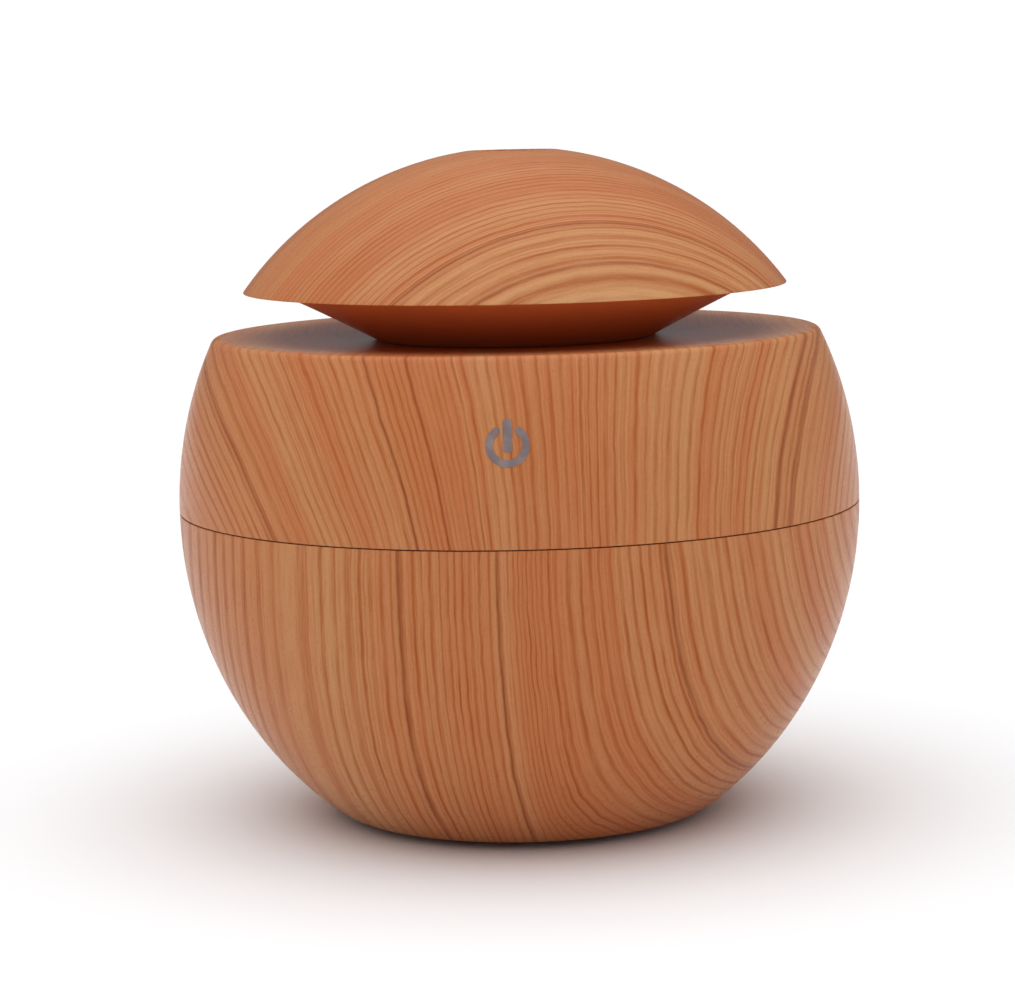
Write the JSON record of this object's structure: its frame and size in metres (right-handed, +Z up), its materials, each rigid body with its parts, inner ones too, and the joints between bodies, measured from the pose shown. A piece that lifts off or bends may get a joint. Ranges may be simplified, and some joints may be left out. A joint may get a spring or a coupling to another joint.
{
  "type": "essential oil diffuser",
  "caption": "Round bowl-shaped ultrasonic oil diffuser with a lift-off mushroom lid, flat deck, touch key and central mist outlet.",
  "frame": {"origin": "on the table, under the middle of the feet and the bowl", "axes": "+Z up along the bowl's axis, front with the touch key towards -Y, power inlet at +Y"},
  "size_m": [0.102, 0.102, 0.0994],
  "materials": {
    "wood_print": "semi-gloss plastic with a printed wood grain",
    "skirt_print": "semi-gloss plastic, printed brown",
    "milky_plastic": "translucent moulded plastic",
    "ivory_plastic": "moulded plastic",
    "black_plastic": "fine textured moulded plastic",
    "silicone": "soft matte silicone",
    "rubber": "matte rubber",
    "steel": "zinc-plated",
    "brass": "plain with a silvered electrode",
    "bronze": "sintered bearing bronze",
    "copper": "enamelled copper winding",
    "green_board": "solder-masked circuit board",
    "white_board": "white solder-masked circuit board",
    "lamp_lens": "clear cast resin",
    "touch_mark": "thin printed grey ink"
  },
  "bodies": {
    "housing": {"upper_housing": "wood_print", "lower_housing": "wood_print", "water_tank": "milky_plastic", "air_duct": "ivory_plastic", "duct_hood": "ivory_plastic", "atomiser_clamp": "ivory_plastic", "fan_duct": "ivory_plastic", "led_lead": "ivory_plastic", "fan_frame": "black_plastic", "base_cover": "black_plastic", "dc_socket": "black_plastic", "driver_chip": "black_plastic", "touch_lead": "black_plastic", "tank_seal": "silicone", "atomiser_seal": "silicone", "foot_1": "rubber", "foot_2": "rubber", "foot_3": "rubber", "tank_screw_1": "steel", "tank_screw_2": "steel", "tank_screw_3": "steel", "tank_screw_4": "steel", "clamp_screw_1": "steel", "clamp_screw_2": "steel", "clamp_screw_3": "steel", "fan_screw_1": "steel", "fan_screw_2": "steel", "led_screw_1": "steel", "led_screw_2": "steel", "board_screw_1": "steel", "board_screw_2": "steel", "board_screw_3": "steel", "housing_screw_1": "steel", "housing_screw_2": "steel", "housing_screw_3": "steel", "touch_screw_1": "steel", "touch_screw_2": "steel", "socket_pin": "steel", "capacitor": "steel", "touch_spring": "steel", "atomiser_disc": "brass", "atomiser_lead": "brass", "fan_bearing": "bronze", "fan_stator": "copper", "inductor": "copper", "fan_lead": "copper", "main_board": "green_board", "touch_board": "green_board", "led_board": "white_board", "led_1": "lamp_lens", "led_2": "lamp_lens", "led_3": "lamp_lens", "led_4": "lamp_lens"},
    "lid": {"cap_dome": "wood_print", "cap_skirt": "skirt_print", "mist_tube": "ivory_plastic", "lid_seal": "silicone"},
    "fan": {"fan_rotor": "black_plastic", "fan_shaft": "steel"}
  },
  "joints": [
    {"name": "lid_lift", "type": "slide", "parent": "housing", "child": "lid", "axis": [0, 0, 1], "range_m": [0, 0.04]},
    {"name": "fan_spin", "type": "hinge", "parent": "housing", "child": "fan", "pos_m": [0.027, 0, 0.023], "axis": [0, 0, 1], "continuous": true}
  ]
}
